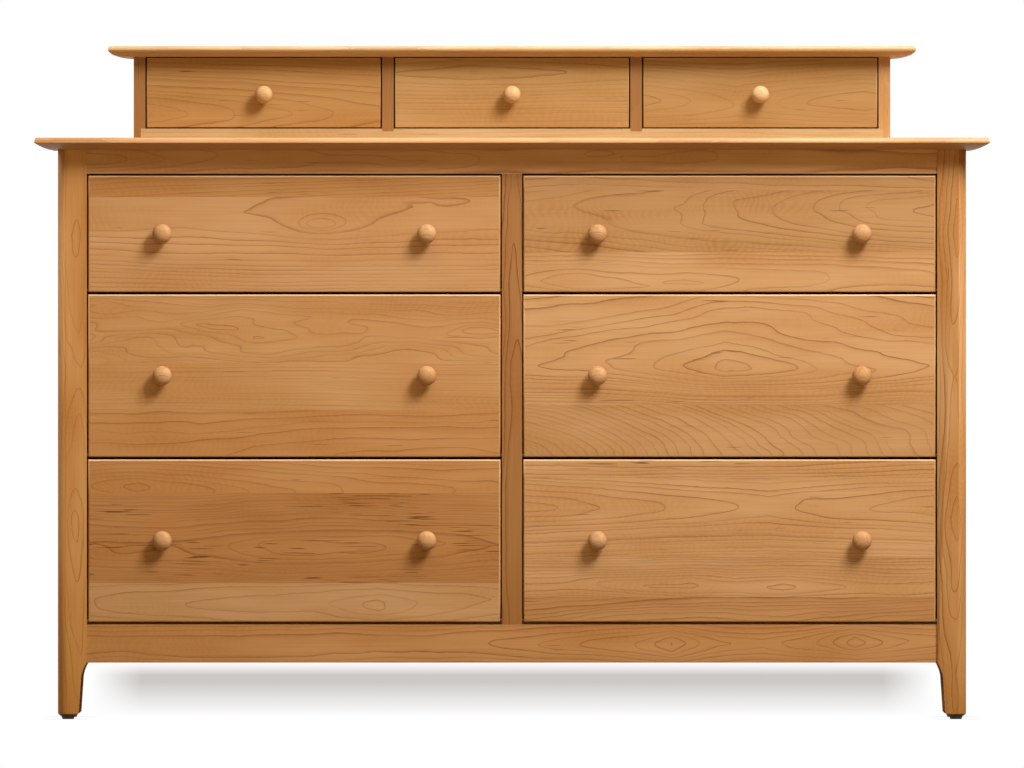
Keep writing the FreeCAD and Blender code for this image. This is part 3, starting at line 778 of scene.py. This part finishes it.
@dataclass
class Drawer:
    """A dovetailed drawer with its front, knobs and their screws.

    Attributes:
        name: the drawer's place in the dresser.
        boards: finishes of the front's boards, from the top down.
        glue_lines: heights of the joints between them.
        highlight_arrises: name, tone and sheen of the front's top and right arris; their paler tones are
            painted highlights.
        knob_radius: radius of the knobs' heads.
        knob_tone: tone of the knobs.
        knob_rise: height of the knob wood's eye above the knobs' axes.
        plural: ending of the knobs' and screws' names.
        front_thickness: thickness of the front.
        side_thickness: thickness of the box's sides.
    """

    HIGHLIGHT_CONTRAST = 0.4
    HIGHLIGHT_OUTWARD = 0.45
    HIGHLIGHT_FORWARD = -0.2
    KNOB_EYE_OUT = 0.02
    name: str
    boards: tuple[CherryFinish, ...]
    glue_lines: tuple[float, ...] = ()
    # Paler tones that paint highlights on the top and right arrises.
    highlight_arrises: HighlightArrises = (("arris", Tone.HIGHLIGHT_CREAM, 0.8), ("edge", Tone.HONEY, 0.4))
    knob_radius: float = 0.017
    knob_tone: Tone = Tone.PEACH
    knob_rise: float = 0.004
    plural: str = "s"
    front_thickness: float = 0.020
    side_thickness: float = 0.015

    def build(self, maple: tuple[Material, Material], steel: Material) -> None:
        """Make the front, knobs, screws and box.

        Args:
            maple: materials of the box's sides, and of its back and bottom.
            steel: material of the screws.
        """
        body = f"{self.name}_drawer"
        front_node = f"{body}_front"
        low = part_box(front_node)[0]
        # Paler copies of the top board's finish paint highlights on the top and right arrises.
        edges = [replace(self.boards[0], name=f"{self.name}_{part}", tone=tone, contrast=self.HIGHLIGHT_CONTRAST,
                         sheen=sheen) for part, tone, sheen in self.highlight_arrises]
        woods = [wood.material() for wood in (*self.boards, *edges)]
        finished(f"{self.name}_face", self.cut_front(front_node), woods, body, (front_node,))
        turned, heads = bmesh.new(), bmesh.new()
        places = self.knob_places()
        for x, y, z in places:
            Knob((x, y, z), self.knob_radius).shape(turned)
            ScrewHead((x, y + self.front_thickness, z)).shape(heads)
        eye = (low.x, low.y - self.KNOB_EYE_OUT, places[0][2] + self.knob_rise)
        wood = CherryFinish(
            f"{self.name}_knob_wood", Grain.ALONG_X, eye, self.knob_tone, taper=0.02, ring=0.0030,
            wander=0.004, gum=0.0, seed=self.knob_seed(), end_shade=0.9, sheen=0.2)
        finished(f"{self.name}_turned_knob{self.plural}", turned, [wood.material()], body,
                 (f"{body}_knob{self.plural}",))
        finished(f"{self.name}_knob_screw{self.plural}", heads, [steel], body)
        box_node = f"{body}_box"
        box = self.sorted_box(box_node)
        finished(f"{self.name}_dovetailed_box", box, list(maple), body, (box_node,))

    def cut_front(self, node: str) -> BMesh:
        """Cut the front along its glue lines, and number its boards from the top, then its two arrises, which
        carry painted highlights.
        """
        shape = merged_copy(node)
        for height in self.glue_lines:
            everything = [*shape.verts, *shape.edges, *shape.faces]
            bmesh.ops.bisect_plane(shape, geom=everything, dist=MERGE_DISTANCE, plane_co=(0, 0, height),
                                   plane_no=(0, 0, 1))
        for face in shape.faces:
            middle, normal = face.calc_center_median().z, face.normal
            face.material_index = sum(middle < height for height in self.glue_lines)
            # Arris faces that face up or right and forward take the painted highlight finishes.
            if max(normal.x, normal.z) > self.HIGHLIGHT_OUTWARD and normal.y < self.HIGHLIGHT_FORWARD:
                face.material_index = len(self.glue_lines) + (1 if normal.z > normal.x else 2)
        return shape

    def sorted_box(self, node: str) -> BMesh:
        """Copy the box and number its faces: 0 for the sides, and 1 for the boards across the drawer."""
        low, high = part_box(node)
        shape = bmesh.new()
        shape.from_mesh(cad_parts[node].data)
        for face in shape.faces:
            middle = face.calc_center_median().x
            face.material_index = int(low.x + self.side_thickness < middle < high.x - self.side_thickness)
        return shape

    def knob_places(self) -> list[Point]:
        """Points where the knobs' axes meet the front's face."""
        raise NotImplementedError

    def knob_seed(self) -> float:
        """Seed of the knob wood's noise."""
        raise NotImplementedError


@dataclass
class LargeDrawer(Drawer):
    """One of the six large drawers.

    Attributes:
        knob_end_distance: from the front's ends to the knobs' axes.
    """

    knob_end_distance: float = 0.1295

    def build(self, maple: tuple[Material, Material], steel: Material) -> None:
        """Make the drawer and dress its slides, see Drawer."""
        super().build(maple, steel)
        dress(f"{self.name}_slide_carriages", steel)
        dress(f"{self.name}_slide_beams", steel)

    def knob_places(self) -> list[Point]:
        """Points half way up the front, one near each end."""
        low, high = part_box(f"{self.name}_drawer_front")
        ends = (low.x + self.knob_end_distance, high.x - self.knob_end_distance)
        return [(x, low.y, (low.z + high.z) / 2) for x in ends]

    def knob_seed(self) -> float:
        """Seed from the drawer's place."""
        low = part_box(f"{self.name}_drawer_front")[0]
        return low.x * 9 + low.z * 5


@dataclass
class SmallDrawer(Drawer):
    """One of the three small drawers of the upper case."""

    # HONEY is paler than the small boards and paints highlights on both arrises.
    highlight_arrises: HighlightArrises = (("arris", Tone.HONEY, 0.6), ("edge", Tone.HONEY, 0.6))
    knob_radius: float = 0.0155
    knob_tone: Tone = Tone.STRAW
    knob_rise: float = 0.003
    plural: str = ""
    front_thickness: float = 0.019
    side_thickness: float = 0.010

    def knob_places(self) -> list[Point]:
        """The one point on the axis of the CAD's knob."""
        low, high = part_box(f"{self.name}_drawer_knob")
        centre = (low + high) / 2
        return [(centre.x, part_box(f"{self.name}_drawer_front")[0].y, centre.z)]

    def knob_seed(self) -> float:
        """Seed from the knob's place."""
        return self.knob_places()[0][0] * 4 + 2


def paired(node: str, wood: CherryFinish, left_tone: Tone | None = None) -> None:
    """Make boards that stand on both sides of the case, each side cut from a log of its own.

    Args:
        node: the CAD node that holds the boards of both sides.
        wood: finish of the right side, with its eye there.
        left_tone: tone of the left side where it isn't the same.
    """
    x, y, z = wood.eye
    other = replace(wood, name=f"{wood.name}_left", eye=(-x, y, z), seed=wood.seed + LEFT_SEED_STEP,
                    tone=left_tone or wood.tone)
    shape = merged_copy(node)
    for face in shape.faces:
        face.material_index = int(face.calc_center_median().x < 0)
    finished(f"{node}_boards", shape, [wood.material(), other.material()], "case", (node,))


def moulded_board(node: str, wood: CherryFinish, painted_light_tones: tuple[Tone, Tone, Tone]) -> None:
    """Make a top whose upper face, moulded edge and under-bevel each get a tone of their own; on the edge and
    the under-bevel the tone paints the light and shade that fall there.

    Args:
        node: the top's CAD node.
        wood: its finish.
        painted_light_tones: tones of the upper face, the edge and the under-bevel; the last two paint the
            light and shade that fall there.
    """
    shape = merged_copy(node)
    for face in shape.faces:
        # The moulded edge takes the painted highlight tone, and faces that look down take the painted
        # under-bevel tone.
        if face.normal.z < UPPER_FACE:
            face.material_index = 2 if face.normal.z < UNDER_BEVEL else 1
    parts = zip(("face", "edge", "bevel"), painted_light_tones)
    finishes = [replace(wood, name=f"{wood.name}_{part}", tone=tone).material() for part, tone in parts]
    finished(f"{node}_board", shape, finishes, "case", (node,))


@dataclass
class LowerCase:
    """The legs, rails, panels and main top of the lower case.

    Attributes:
        legs: place, noise seed and tone of each leg.
        muntin_share: share of the back's height that each back rail takes up at most.
    """

    legs: tuple[tuple[str, float, Tone], ...] = (
        ("front_left", 11.0, Tone.AMBER),
        ("front_right", 12.6, Tone.GOLDEN),
        ("rear_left", 14.1, Tone.AMBER),
        ("rear_right", 15.7, Tone.AMBER),
    )
    muntin_share: float = 0.2

    def build(self) -> None:
        """Make the legs and the main top, and dress the rails and panels."""
        for place, seed, tone in self.legs:
            node = f"{place}_leg"
            low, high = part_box(node)
            eye = ((low.x + high.x) / 2 + 0.006, low.y - 0.03, 0.35)
            wood = CherryFinish(
                f"{place}_leg_cherry", Grain.ALONG_Z, eye, tone, second=0.5, taper=0.05, ring=0.0055,
                wander=0.012, gum=0.3, seed=seed, contrast=1.4, patch=3.0, darken_below=0.4)
            finished(f"{place}_post", merged_copy(node), [wood.material()], "case", (node,))
        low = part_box("main_top")[0]
        top = CherryFinish("main_top_cherry", Grain.ALONG_X_FLAT, (0.3, low.y + 0.2, low.z - 0.05),
                           taper=0.05, wander=0.012, seed=21.0, contrast=0.6, sheen=0.5)
        # HONEY paints a highlight on the moulded edge, and WHEAT paints shade on the under-bevel.
        moulded_board("main_top", top, (Tone.GOLDEN, Tone.HONEY, Tone.WHEAT))
        rails = {
            "top_front_rail": CherryFinish(
                "top_rail_cherry", Grain.ALONG_X, (-0.75, -0.17, 0.985), Tone.HONEY, reach=0.4, taper=0.09,
                wander=0.01, seed=31.0),
            "bottom_front_rail": CherryFinish(
                "bottom_rail_cherry", Grain.ALONG_X, (0.280, -0.177, 0.132), Tone.ROSE, second=0.322,
                reach=0.14, taper=0.22, ring=0.0042, wander=0.008, seed=32.0, contrast=1.5),
            "centre_stile": CherryFinish(
                "stile_cherry", Grain.ALONG_Z, (0.005, -0.215, 0.4), Tone.OLIVE, taper=0.03, ring=0.005,
                wander=0.01, seed=33.0, contrast=1.6, darken_below=0.75),
            "back_panels": CherryFinish(
                "back_panel_cherry", Grain.ALONG_Z, (0.35, 0.15, 0.5), taper=0.05, wander=0.014, seed=37.0),
        }
        for node, wood in rails.items():
            dress(node, wood.material())
        paired("side_rails", CherryFinish("side_rail_cherry", Grain.ALONG_Y, (0.72, 0.0, 0.13), Tone.AMBER,
                                          wander=0.01, seed=34.0))
        paired("side_panels", CherryFinish("side_panel_cherry", Grain.ALONG_Z_SIDE, (0.70, 0.03, 0.5),
                                           taper=0.05, wander=0.012, seed=35.0))
        self.build_back_rails()

    def build_back_rails(self) -> None:
        """Make the two back rails and the muntin between them, each with its grain along it."""
        low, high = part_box("back_rails")
        level = CherryFinish("back_rail_cherry", Grain.ALONG_X, (0.2, 0.28, 0.13), Tone.ROSE, taper=0.08,
                             wander=0.01, seed=36.0)
        upright = replace(level, name="back_muntin_cherry", grain=Grain.ALONG_Z, eye=(0.0, 0.28, 0.5))
        shape = merged_copy("back_rails")
        for face in shape.faces:
            share = (face.calc_center_median().z - low.z) / (high.z - low.z)
            face.material_index = int(self.muntin_share < share < 1 - self.muntin_share)
        woods = [level.material(), upright.material()]
        finished("back_frame", shape, woods, "case", ("back_rails",))


@dataclass
class UpperCase:
    """The moulded top, sides, dividers and rail of the upper case.

    Attributes:
        board_seed: noise seed of the first board.
    """

    board_seed: float = 41.0

    def build(self) -> None:
        """Make the upper top and dress the boards."""
        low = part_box("upper_top")[0]
        top = CherryFinish("upper_top_cherry", Grain.ALONG_X_FLAT, (-0.2, low.y + 0.22, low.z - 0.05),
                           taper=0.05, wander=0.012, seed=self.board_seed, contrast=0.6, sheen=0.5)
        # STRAW paints a highlight on the moulded edge and paints light on the under-bevel.
        moulded_board("upper_top", top, (Tone.GOLDEN, Tone.STRAW, Tone.STRAW))
        side = CherryFinish("upper_side_cherry", Grain.ALONG_Z_SIDE, (0.66, 0.1, 1.3), wander=0.01,
                            seed=self.board_seed + 0.66, contrast=0.5)
        paired("upper_sides", side, Tone.UMBER)
        divider = replace(side, name="divider_cherry", eye=(0.23, 0.1, 1.3), tone=Tone.UMBER,
                          seed=self.board_seed + 2)
        # The rail's wood with a painted highlight: a paler, whiter tone for the light that the main top
        # throws up onto it.
        rail = CherryFinish("upper_rail_cherry", Grain.ALONG_X, (0.4, -0.2, 1.06), Tone.HIGHLIT_FLAX, taper=0.05,
                            wander=0.008, seed=self.board_seed + 3, contrast=0.5)
        dress("upper_dividers", divider.material())
        dress("upper_front_rail", rail.material())


@dataclass(frozen=True)
class SoftLamp:
    """A soft studio lamp.

    Attributes:
        name: the lamp's name.
        toward: direction from the dresser to the lamp.
        distance: how far off it hangs.
        width: its width.
        depth: its depth.
        strength: light on a surface that faces it, as pi times what a white surface shows.
        colour: colour of the light.
        aim: the point that it is turned to.
    """

    name: str
    toward: Point
    distance: float
    width: float
    depth: float
    strength: float
    colour: Colour = WHITE
    aim: Point = (0.0, -0.2, 0.65)

    def hang(self) -> None:
        """Put the lamp in the scene."""
        data = bpy.data.lights.new(self.name, "AREA")
        data.shape = "RECTANGLE"
        data.size = self.width
        data.size_y = self.depth
        data.energy = self.strength * math.pi * self.distance ** 2
        data.color = self.colour
        lamp = bpy.data.objects.new(self.name, data)
        toward = Vector(self.toward).normalized()
        lamp.location = Vector(self.aim) + toward * self.distance
        lamp.rotation_euler = toward.to_track_quat("Z", "Y").to_euler()
        bpy.context.scene.collection.objects.link(lamp)
        LOG.info("%s hung", self.name)


@dataclass(frozen=True)
class FilmFinish(Finish):
    """Clear film with a painted soft grey shadow band on its front, which only the camera sees.

    Attributes:
        shadow: colour of the painted shadow behind the feet.
        ends: distances from the middle between which the band fades out.
        lower_edge: heights between which it fades in.
        upper_edge: heights between which it fades out.
    """

    shadow: Colour = (0.605, 0.58, 0.56)
    ends: tuple[float, float] = (0.655, 0.745)
    lower_edge: tuple[float, float] = (0.0, 0.062)
    upper_edge: tuple[float, float] = (0.074, 0.096)

    def surface(self, sheet: NodeSheet) -> Node:
        """The film, see Finish."""
        coordinates = sheet.add("ShaderNodeTexCoord").outputs
        x, _, z = sheet.separate(coordinates["Object"])
        between_feet = sheet.span(sheet.math("ABSOLUTE", x), *self.ends, 1.0, 0.0)
        above = sheet.span(z, *self.lower_edge, 0.0, 1.0)
        band = sheet.times(above, sheet.span(z, *self.upper_edge, 1.0, 0.0))
        front = sheet.math("MAXIMUM", sheet.times(sheet.separate(coordinates["Normal"])[1], -1.0), 0.0)
        # Painted shadow: the grey band on the film's front, between the feet.
        painted_shadow = sheet.times(front, sheet.times(band, between_feet))
        seen = sheet.times(painted_shadow, sheet.add("ShaderNodeLightPath").outputs["Is Camera Ray"])
        return sheet.add("ShaderNodeBsdfTransparent", {"Color": sheet.mix(seen, WHITE, self.shadow)})


@dataclass(frozen=True)
class PaperFinish(Finish):
    """White paper with a painted contact shadow round the feet; it gives a little light back.

    Attributes:
        bounce: how much light it gives back in front of the dresser, as a colour.
        bounce_edge: places on Y between which that light falls off.
        bounce_share: share of it that is left under the dresser.
        glide_radius: radius of the feet's glides.
        contact_shadow_radius: how far from a foot's axis the painted contact shadow reaches.
        contact_shade: brightness of the painted contact shadow at a glide's edge.
    """

    bounce: Colour = (0.36, 0.26, 0.13)
    bounce_edge: tuple[float, float] = (-1.6, -0.3)
    bounce_share: float = 0.25
    glide_radius: float = 0.0125
    contact_shadow_radius: float = 0.05
    contact_shade: float = 0.5

    def surface(self, sheet: NodeSheet) -> Node:
        """The paper, see Finish."""
        x, y, _ = sheet.separate(sheet.add("ShaderNodeTexCoord").outputs["Object"])
        low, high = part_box("foot_glides")
        radius = self.glide_radius
        aside = sheet.math("SUBTRACT", sheet.math("ABSOLUTE", x), high.x - radius)
        ahead = sheet.math("ABSOLUTE", sheet.math("SUBTRACT", y, (low.y + high.y) / 2))
        from_foot = sheet.length(aside, sheet.math("SUBTRACT", ahead, (high.y - low.y) / 2 - radius))
        # Painted contact shadow round each foot, as the camera sees it.
        painted_contact_shadow = sheet.span(from_foot, radius, self.contact_shadow_radius, self.contact_shade, 1.0)
        shown = sheet.add("ShaderNodeEmission", {"Strength": painted_contact_shadow})
        near = sheet.span(y, *self.bounce_edge, 1.0, self.bounce_share)
        paper = sheet.add("ShaderNodeBsdfDiffuse", {"Color": sheet.mix(near, (0.0, 0.0, 0.0), self.bounce)})
        return sheet.add("ShaderNodeMixShader", {0: sheet.seen(), 1: paper.outputs[0], 2: shown.outputs[0]})


@dataclass
class Studio:
    """The pale floor, the lights and the camera.

    Attributes:
        view_width: width of the view at the dresser's front, in metres.
        eye_height: height of the camera.
        distance: from the camera to the dresser's front.
        sensor: width of the camera's sensor in millimetres.
        lamps: the lamps.
        ambient: light from all round, as a colour.
        floor_half_width: half of the floor's width and depth.
        film_place: where the film stands under the case, on Y.
        film_half_width: half of the film's width.
        film_gap: the film's distance below the rail.
    """

    view_width: float = 1.7968
    eye_height: float = 0.588
    distance: float = 60.0
    sensor: float = 36.0
    lamps: tuple[SoftLamp, ...] = (
        SoftLamp("main_light", (0.95, -1.0, 1.40), 6.4, 2.15, 2.15, 3.90),
        SoftLamp("front_light", (0.0, -1.0, 0.12), 8.0, 7.0, 3.0, 0.42, (1.0, 0.68, 0.32)),
        SoftLamp("overhead_light", (0.0, -0.26, 1.0), 2.5, 3.2, 1.0, 1.9, (1.0, 0.95, 0.86)),
        SoftLamp("rear_light", (0.25, 1.0, 0.35), 7.0, 4.0, 3.0, 1.8),
        SoftLamp("left_light", (-1.0, 0.4, 0.45), 6.0, 3.0, 3.0, 1.0),
    )
    ambient: Colour = (0.12, 0.088, 0.042)
    floor_half_width: float = 30.0
    film_place: float = 0.15
    film_half_width: float = 0.75
    film_gap: float = 0.001

    def build(self) -> None:
        """Set the stage round the dresser."""
        self.make_floor()
        self.make_world()
        for lamp in self.lamps:
            lamp.hang()
        self.make_camera()
        bpy.context.scene.view_settings.view_transform = "Standard"

    def make_floor(self) -> None:
        """A level floor, and a low film under the case that carries the painted shadow seen between the feet.
        """
        floor = bmesh.new()
        bmesh.ops.create_grid(floor, x_segments=1, y_segments=1, size=self.floor_half_width)
        film = bmesh.new()
        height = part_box("bottom_front_rail")[0].z - self.film_gap
        size = Matrix.Diagonal((2 * self.film_half_width, height, 1.0, 1.0))
        place = Matrix.Translation((0.0, self.film_place, height / 2)) @ Matrix.Rotation(math.pi / 2, 4, "X")
        bmesh.ops.create_grid(film, x_segments=1, y_segments=1, size=0.5, matrix=place @ size)
        sheets = (("floor", floor, PaperFinish("white_paper")),
                  ("shadow_film", film, FilmFinish("shadow_film")))
        for name, shape, finish in sheets:
            mesh = bpy.data.meshes.new(name)
            shape.to_mesh(mesh)
            shape.free()
            mesh.materials.append(finish.material())
            sheet = bpy.data.objects.new(name, mesh)
            bpy.context.scene.collection.objects.link(sheet)
            LOG.info("%s laid", name)

    def make_world(self) -> None:
        """White where the camera or a reflection looks, and even soft light for the rest."""
        world = bpy.data.worlds.new("studio")
        world.use_nodes = True
        bpy.context.scene.world = world
        sheet = NodeSheet(world.node_tree)
        light = sheet.add("ShaderNodeBackground", {"Color": sheet.mix(sheet.seen(), self.ambient, WHITE)})
        sheet.add("ShaderNodeOutputWorld", {"Surface": light.outputs[0]})

    def make_camera(self) -> None:
        """A level camera far in front of the dresser."""
        data = bpy.data.cameras.new("camera")
        data.sensor_width = self.sensor
        data.lens = self.sensor * self.distance / self.view_width
        data.clip_end = 4 * self.distance
        camera = bpy.data.objects.new("camera", data)
        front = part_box("front_left_leg")[0].y
        camera.location = (0.0, front - self.distance, self.eye_height)
        camera.rotation_euler = (math.pi / 2, 0.0, 0.0)
        bpy.context.scene.collection.objects.link(camera)
        bpy.context.scene.camera = camera


FACE_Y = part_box("top_left_drawer_front")[0].y
SMALL_FACE_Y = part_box("small_left_drawer_front")[0].y


def board(name: str, eye: tuple[float, float], depth: float, tone: Tone, face: float = FACE_Y,
          **figure: object) -> CherryFinish:
    """A level board of a drawer front, with its eye at (x, z) and the pith at a depth behind the face."""
    return CherryFinish(name, Grain.ALONG_X, (eye[0], face + depth, eye[1]), tone, **figure)


LARGE_DRAWERS = (
    LargeDrawer("top_left", (
        board("top_left_upper", (0.0, 0.83), 0.05, Tone.ROSE, ring=0.0052, wander=0.005, gum=0.8,
              seed=1.3),
        board("top_left_lower", (-0.345, 0.90), 0.12, Tone.PEACH, taper=0.015, seed=2.6,
              knot=(0.008, -0.032), knot_size=0.020),
    ), (0.916,)),
    LargeDrawer("middle_left", (
        board("middle_left_upper", (-0.45, 0.665), 0.13, Tone.GOLDEN, taper=0.008, ring=0.0021,
              wander=0.016, seed=3.9, contrast=0.9),
        board("middle_left_middle", (-0.9, 0.46), 0.06, Tone.GOLDEN, taper=0.03, ring=0.0055,
              wander=0.007, seed=4.2, contrast=0.7),
        board("middle_left_lower", (0.3, 0.45), 0.12, Tone.ROSE, taper=0.025, ring=0.0065, wander=0.011,
              seed=5.5),
    ), (0.625, 0.542)),
    LargeDrawer("bottom_left", (
        board("bottom_left_upper", (-0.657, 0.402), 0.006, Tone.ROSE, reach=0.4, taper=0.16, ring=0.0062,
              wander=0.010, seed=6.8),
        board("bottom_left_middle", (-0.35, 0.306), 0.03, Tone.RUSSET, taper=0.03, ring=0.0045,
              wander=0.012, gum=1.15, seed=7.1, contrast=0.9),
        board("bottom_left_lower", (-0.235, 0.204), 0.02, Tone.OAT, reach=0.5, taper=0.07, ring=0.0065,
              wander=0.012, seed=8.4),
    ), (0.397, 0.239)),
    LargeDrawer("top_right", (
        board("top_right_upper", (1.2, 0.96), 0.03, Tone.OAT, taper=0.03, seed=9.7, contrast=1.3),
        board("top_right_middle", (0.95, 0.895), 0.01, Tone.FAWN, taper=0.16, wander=0.011, curl=1.2,
              gum=0.6, seed=10.2, contrast=1.2),
        board("top_right_lower", (0.12, 0.770), 0.02, Tone.BISQUE, taper=0.05, ring=0.0055, wander=0.012,
              seed=11.5),
    ), (0.928, 0.819)),
    LargeDrawer("middle_right", (
        board("middle_right_upper", (0.374, 0.616), 0.004, Tone.BISQUE, reach=0.5, taper=0.15,
              ring=0.0052, wander=0.010, lift=0.36, gum=0.5, seed=12.8, contrast=1.6),
        board("middle_right_lower", (-0.05, 0.455), 0.0, Tone.OAT, taper=0.42, ring=0.0055, wander=0.011,
              seed=13.1, contrast=0.9),
    ), (0.551,)),
    LargeDrawer("bottom_right", (
        board("bottom_right_upper", (0.2, 0.47), 0.03, Tone.BISQUE, taper=0.03, gum=0.8, seed=14.4,
              contrast=1.3),
        board("bottom_right_middle", (0.0, 0.375), 0.025, Tone.BISQUE, second=0.9, reach=2.0, taper=0.07,
              wander=0.008, gum=0.4, seed=15.7, contrast=1.4),
        board("bottom_right_centre", (0.477, 0.232), 0.010, Tone.BISQUE, second=-0.163, reach=0.4,
              taper=0.07, ring=0.0045, wander=0.009, seed=15.2, contrast=1.4),
        board("bottom_right_lower", (1.0, 0.14), 0.05, Tone.WHEAT, taper=0.06, ring=0.0045, wander=0.013,
              gum=0.7, seed=16.2, contrast=1.5),
    ), (0.423, 0.285, 0.214)),
)

SMALL_DRAWERS = (
    SmallDrawer("small_left", (
        board("small_left_board", (-0.66, 1.064), 0.02, Tone.TAWNY, SMALL_FACE_Y, ring=0.007,
              wander=0.008, seed=17.5),)),
    SmallDrawer("small_centre", (
        board("small_centre_board", (-0.07, 1.134), 0.012, Tone.SAND, SMALL_FACE_Y, reach=0.5,
              taper=0.055, seed=18.8, contrast=0.8),)),
    SmallDrawer("small_right", (
        board("small_right_board", (0.62, 1.083), 0.015, Tone.CHAMOIS, SMALL_FACE_Y, second=-0.45,
              taper=0.12, ring=0.0065, wander=0.008, seed=19.1, contrast=0.8),)),
)


def main() -> None:
    """Build and dress the dresser, then its studio."""
    logging.basicConfig(level=logging.INFO, format="%(name)s: %(message)s")
    side_maple = MapleFinish("box_side_maple", Grain.ALONG_Y).material()
    cross_maple = MapleFinish("box_cross_maple", Grain.ALONG_X).material()
    board_maple = MapleFinish("case_maple", Grain.ALONG_Y).material()
    steel = SteelFinish("plated_steel").material()
    for drawer in (*LARGE_DRAWERS, *SMALL_DRAWERS):
        drawer.build((side_maple, cross_maple), steel)
    LowerCase().build()
    UpperCase().build()
    for node in ("centre_partition", "slide_battens", "upper_floor"):
        dress(node, board_maple)
    dress("slide_channels", steel)
    dress("foot_glides", PlasticFinish("glide_plastic").material())
    Studio().build()


if __name__ == "__main__":
    main()
